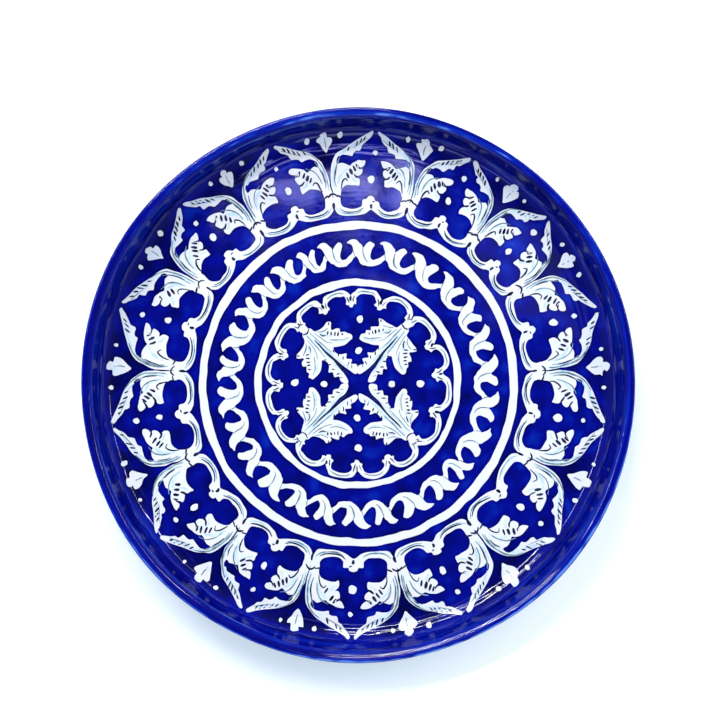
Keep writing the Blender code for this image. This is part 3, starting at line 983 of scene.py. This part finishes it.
def make_skin():
    """Turns the section: floor, fillet, wall and lip, then the outside down to the foot."""
    edge = (FLOOR_RADIUS - OUTER_FLOOR_WIDTH, FLOOR_TOP)
    fillet = arc((FLOOR_RADIUS, FLOOR_TOP + FLOOR_FILLET), FLOOR_FILLET,
                 -90.0, -WALL_LEAN_DEG, FILLET_STEPS)
    crest = RIM_RADIUS - LIP_EDGE_RADIUS
    lip = [(crest + LIP_SLOPE[0] * math.cos(turn), HEIGHT + LIP_SLOPE[1] * (math.sin(turn) - 1.0))
           for turn in np.radians(np.linspace(180.0 - WALL_LEAN_DEG, 90.0, LIP_POINTS))]
    lip += arc((crest, HEIGHT - LIP_EDGE_RADIUS), LIP_EDGE_RADIUS, 90.0, 0.0, LIP_EDGE_STEPS)[1:]
    heel = arc(HEEL_CENTRE, HEEL_RADIUS, HEEL_START_DEG, HEEL_END_DEG, HEEL_STEPS)
    path = [(0.0, FLOOR_TOP)]
    for steps, run in ((INNER_FLOOR_STEPS, [edge]), (OUTER_FLOOR_STEPS, fillet), (WALL_STEPS, lip),
                       (OUTER_WALL_STEPS, [OUTER_WALL_POINT]), (OUTER_WALL_STEPS, heel),
                       (UNDERSIDE_STEPS, [UNDERSIDE_POINT]), (FOOT_STEPS, [FOOT_POINT])):
        path += straight(path[-1], run[0], steps) + run
    skin = turned_skin("glaze_skin", path, SKIN_SEGMENTS, (cobalt, wall_cobalt), on_wall, uneven)
    ride(skin, "cobalt_glaze", "glaze_front", "glaze_back")
    return skin


# How deep the cobalt is, from 0 for navy to 1 for pale.
FLOOR_TONE, WALL_TONE, BACK_TONE = 0.50, 0.525, 0.40
# The first of these is painted light: the cobalt is made paler towards the top right.
PAINTED_LIGHT_TO_TOP_RIGHT, PATCHY, BROAD, FLECK = 0.04, 0.09, 0.07, 0.02
# Darker outside the arches of the petals, and where the glaze pools beside the enamel.
OUTSIDE_DARKER, POOL_DARKER, POOL_WIDTH = 0.17, 0.16, 0.9
ARCH_RADIUS, ARCH_DEPTH, ARCH_REACH_DEG = 138.0, 26.0, 11.5
# Paler where the glaze runs thin on the lip's inner edge, at this radius, and paler still on the top
# side as painted light; and a painted highlight along the lip's crest on the near side.
LIP_EDGE_PALER, LIP_EDGE_AT, CREST_PAINTED_HIGHLIGHT = 0.20, 146.6, 0.75
WALL_START = 135.0


def paint_tone(skin):
    """Stores how deep the cobalt is at each point of the skin; some of it is painted light: paler to
    the top right, paler on the top of the lip's inner edge, and a painted highlight along its crest
    on the near side.
    """
    mesh = skin.data
    x, y, z = (read(mesh.vertices, "co") / MM).T
    radius = np.hypot(x, y)
    angle = np.degrees(np.arctan2(x, y)) % 360
    outline = np.vstack(outlines)
    tree = kdtree.KDTree(len(outline))
    for index, (px, py) in enumerate(outline):
        tree.insert((px, py, 0.0), index)
    tree.balance()
    near = np.array([tree.find((px, py, 0.0))[2] if r < 140 else 9.0
                     for px, py, r in zip(x, y, radius)])
    patchy, broad, fleck = field(51, 11.0)(x, y), field(52, 38.0)(x, y), field(53, 5.0)(x, y)
    # Painted light: the cobalt is paler towards the top right.
    tone = FLOOR_TONE + PAINTED_LIGHT_TO_TOP_RIGHT * (x + y) / RIM_RADIUS
    tone = tone + PATCHY * patchy + BROAD * broad + FLECK * fleck
    knots = np.array(KNOT_AT)
    gap = np.min(np.abs((angle[:, None] - knots[None, :] + 180) % 360 - 180), axis=1)
    arch = ARCH_RADIUS - ARCH_DEPTH * np.clip(1 - gap / ARCH_REACH_DEG, 0, 1) ** 1.5
    tone -= OUTSIDE_DARKER * climb(radius, arch, 2.0) * (radius < 137)
    tone -= (POOL_DARKER + 0.07 * fleck) * np.exp(-(near / POOL_WIDTH) ** 2)
    wall = climb(radius, WALL_START, 3.0)
    wall_tone = WALL_TONE - 0.03 * x / RIM_RADIUS + 0.05 * broad
    tone = np.where(radius > WALL_START, tone * (1 - wall) + wall * wall_tone, tone)
    lip = climb(z, HEIGHT - 3.4, 1.6)
    tone += 0.03 * lip + 0.10 * climb(radius, 141.0, 2.0) * (1 - lip)
    # Thin glaze on the lip's inner edge, made paler on the top side as painted light.
    thin_glaze_and_sheen = np.exp(-((radius - LIP_EDGE_AT - 0.4 * broad) / 0.7) ** 2) * (z > HEIGHT - 4.0)
    painted_light_on_top = np.clip(0.5 + y / RIM_RADIUS, 0.15, 1.0)
    tone += LIP_EDGE_PALER * thin_glaze_and_sheen * painted_light_on_top * (1 + 0.5 * patchy)
    # Painted highlight: a paler line along the lip's crest, strongest on the near side.
    highlight_side = np.clip(0.35 - y / RIM_RADIUS, 0.0, 1.0)
    crest = np.exp(-((radius - RIM_RADIUS + 0.6) / 0.6) ** 2) * (z > HEIGHT - 4.5)
    tone += CREST_PAINTED_HIGHLIGHT * crest * highlight_side * (0.75 + 0.35 * patchy)
    outer = (z < HEIGHT - 3.0) & (radius > 146.5)
    tone = np.where(outer, BACK_TONE + 0.05 * field(51, 11.0)(x * 0.5, z), tone)
    tone = np.where(z < FLOOR_TOP - 1.0, BACK_TONE, tone)
    layer = mesh.attributes.new("tone", "FLOAT", "POINT")
    layer.data.foreach_set("value", np.clip(tone, 0.0, 1.0).astype(np.float32))


for number in range(len(KNOT_AT)):
    make_petal(number)
make_knots()
make_hearts()
make_rings()
make_ribbon()
make_medallion()
paint_tone(make_skin())

for node, material in (("clay_body", clay), ("foot_ring", foot_clay), ("glaze_base", back)):
    item = bpy.data.objects[node]
    for place in item.material_slots:
        place.material = material


# ---- Floor, light and camera ----

STUDIO_FLOOR_REACH = 120.0
FLOOR_GLOW, FLOOR_GLOW_STRENGTH = (0.73, 0.92, 1.0, 1.0), 0.40
# The sky's strength falls from the first value to the second between these heights.
SKY_COLOUR = (0.80, 0.92, 1.0, 1.0)
SKY_HEIGHTS, SKY_STRENGTHS = (0.55, 0.97), (0.14, 0.02)
CAMERA_TILT_DEG = 2.3
CAMERA_DISTANCE = 8.0
CAMERA_LENS, CAMERA_SENSOR = 741.0, 36.0
CAMERA_TARGET = (1.0, 14.2)
LIGHT_TARGET = (0.0, 0.0, 0.02)
HAZE_HEIGHT = 1.0
HAZE_COLOUR = (0.44, 0.45, 1.0)


def make_floor():
    n = Nodes("studio_floor")
    cloud = n.noise(n.place(), 3.0, 2.0)
    n.shader.inputs["Emission Color"].default_value = FLOOR_GLOW
    n.shader.inputs["Emission Strength"].default_value = FLOOR_GLOW_STRENGTH
    n.finish(n.ramp(cloud, (0.3, (0.86, 0.87, 0.88)), (0.7, (0.90, 0.905, 0.91))), 0.7)
    mesh = bpy.data.meshes.new("floor")
    far = STUDIO_FLOOR_REACH
    corners = [(-far, -far, 0), (far, -far, 0), (far, far, 0), (-far, far, 0)]
    mesh.from_pydata(corners, [], [(0, 1, 2, 3)])
    mesh.materials.append(n.material)
    add_object("floor", mesh)


def make_world():
    world = bpy.data.worlds.new("studio")
    bpy.context.scene.world = world
    world.use_nodes = True
    tree = world.node_tree
    shader = tree.nodes["Background"]
    place = tree.nodes.new("ShaderNodeTexCoord")
    split = tree.nodes.new("ShaderNodeSeparateXYZ")
    tree.links.new(place.outputs["Generated"], split.inputs[0])
    dim = tree.nodes.new("ShaderNodeMapRange")
    for key, number in zip(("From Min", "From Max", "To Min", "To Max"),
                           SKY_HEIGHTS + SKY_STRENGTHS):
        dim.inputs[key].default_value = number
    tree.links.new(split.outputs["Z"], dim.inputs["Value"])
    shader.inputs["Color"].default_value = SKY_COLOUR
    tree.links.new(dim.outputs["Result"], shader.inputs["Strength"])


def make_camera():
    """Looks down on the plate, tilted a little, with the top of the pattern up."""
    data = bpy.data.cameras.new("camera")
    camera = add_object("camera", data)
    tilt = math.radians(CAMERA_TILT_DEG)
    data.lens, data.sensor_width = CAMERA_LENS, CAMERA_SENSOR
    target = Vector((*CAMERA_TARGET, HEIGHT)) * MM
    camera.location = target + Vector((0.0, math.sin(tilt), math.cos(tilt))) * CAMERA_DISTANCE
    camera.rotation_euler = (-tilt, 0.0, 0.0)
    data.clip_start, data.clip_end = 0.1, 500.0
    bpy.context.scene.camera = camera


def area_light(name, size, power, colour):
    data = bpy.data.lights.new(name, "AREA")
    data.shape, data.size, data.size_y = "RECTANGLE", size[0], size[1]
    data.energy, data.color = power, colour
    return add_object(name, data)


def add_light(name, azimuth, elevation, distance, size, power, colour, mirrored=True,
              diffuse=True):
    """An area light at a bearing clockwise from +Y, facing the plate, with its width level."""
    item = area_light(name, size, power, colour)
    turn, rise = math.radians(azimuth), math.radians(elevation)
    away = Vector((math.sin(turn) * math.cos(rise), math.cos(turn) * math.cos(rise),
                   math.sin(rise)))
    item.location = Vector(LIGHT_TARGET) + away * distance
    item.rotation_mode = "QUATERNION"
    item.rotation_quaternion = (-away).to_track_quat("-Z", "Y")
    item.visible_glossy, item.visible_diffuse = mirrored, diffuse


def add_haze(name, place, size, radiance):
    """A small light that the flat glaze mirrors to the camera at this place of the plate."""
    grown = MM * (1.0 + HAZE_HEIGHT / CAMERA_DISTANCE)
    size = (size[0] * grown, size[1] * grown)
    item = area_light(name, size, radiance * math.pi * size[0] * size[1], HAZE_COLOUR)
    camera = bpy.context.scene.camera.location
    share = HAZE_HEIGHT / camera.z
    x, y = place[0] * MM, place[1] * MM
    item.location = (x + (x - camera.x) * share, y + (y - camera.y) * share, HAZE_HEIGHT)
    item.visible_camera = False


make_floor()
make_world()
# Narrow strips make the streaks on the curved wall, and broad lights fill the shade.
add_light("strip_high", -22, 66, 2.2, (1.0, 0.025), 14.5, (0.92, 0.94, 1.0))
add_light("strip_middle", -21, 48, 2.2, (1.6, 0.025), 22.5, (0.97, 0.97, 1.0))
add_light("strip_low", -21, 32, 2.2, (2.0, 0.03), 23.0, (0.97, 0.97, 1.0))
add_light("strip_right", 64, 40, 2.2, (1.7, 0.04), 11.0, (0.66, 0.64, 1.0))
add_light("fill_front", 188, 46, 2.4, (1.7, 1.5), 22.0, (0.80, 0.90, 1.0), mirrored=False)
add_light("glow_front", 192, 30, 2.4, (2.0, 0.35), 6.5, (0.42, 0.56, 1.0), diffuse=False)
add_light("fill_left", -72, 40, 2.4, (0.9, 0.08), 10.0, (0.62, 0.66, 1.0))
add_light("fill_right", 62, 58, 2.4, (1.5, 1.5), 23.0, (0.93, 0.96, 1.0), mirrored=False)
make_camera()
add_haze("haze_top", (6, 103), (38, 20), 11.0)
add_haze("haze_top_left", (-37, 99), (40, 24), 7.5)
add_haze("haze_bar", (-12, 121), (72, 3.5), 3.5)
add_haze("haze_gap", (6, 59.5), (34, 3), 4.0)
add_haze("haze_right", (96, 58), (58, 74), 0.6)
bpy.context.scene.view_settings.view_transform = "Standard"
